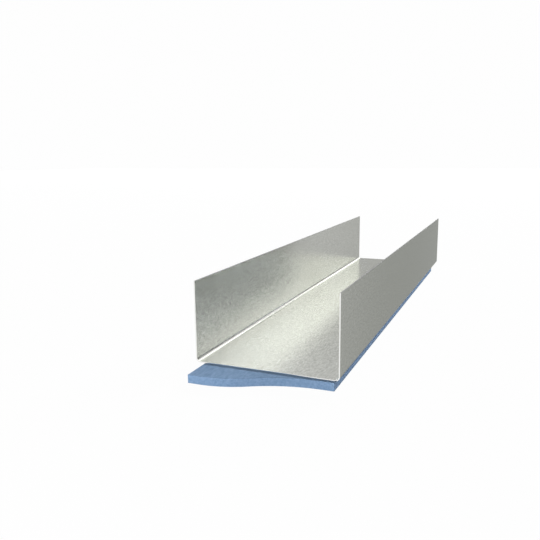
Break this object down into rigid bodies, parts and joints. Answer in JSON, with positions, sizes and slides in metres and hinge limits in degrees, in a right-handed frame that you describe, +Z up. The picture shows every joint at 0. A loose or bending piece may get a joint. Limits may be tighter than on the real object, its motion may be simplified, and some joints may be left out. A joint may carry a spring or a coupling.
{
  "type": "drywall track",
  "caption": "Short length of galvanised sheet-steel U track for a stud wall, with a blue foam sealing strip under its web.",
  "frame": {"origin": "on the floor, on the underside of the foam strip, under the middle of the steel track", "axes": "+Y along the track towards its far end, where the strip stops short; +X across the web; +Z up, the way the legs stand"},
  "size_m": [0.07, 0.3158, 0.0429],
  "materials": {
    "galvanised_steel": "bright zinc coating, fine grain, slightly blurred reflections",
    "blue_foam": "matt closed-cell foam"
  },
  "bodies": {
    "root": {"steel_track": "galvanised_steel", "foam_strip": "blue_foam"}
  },
  "joints": []
}
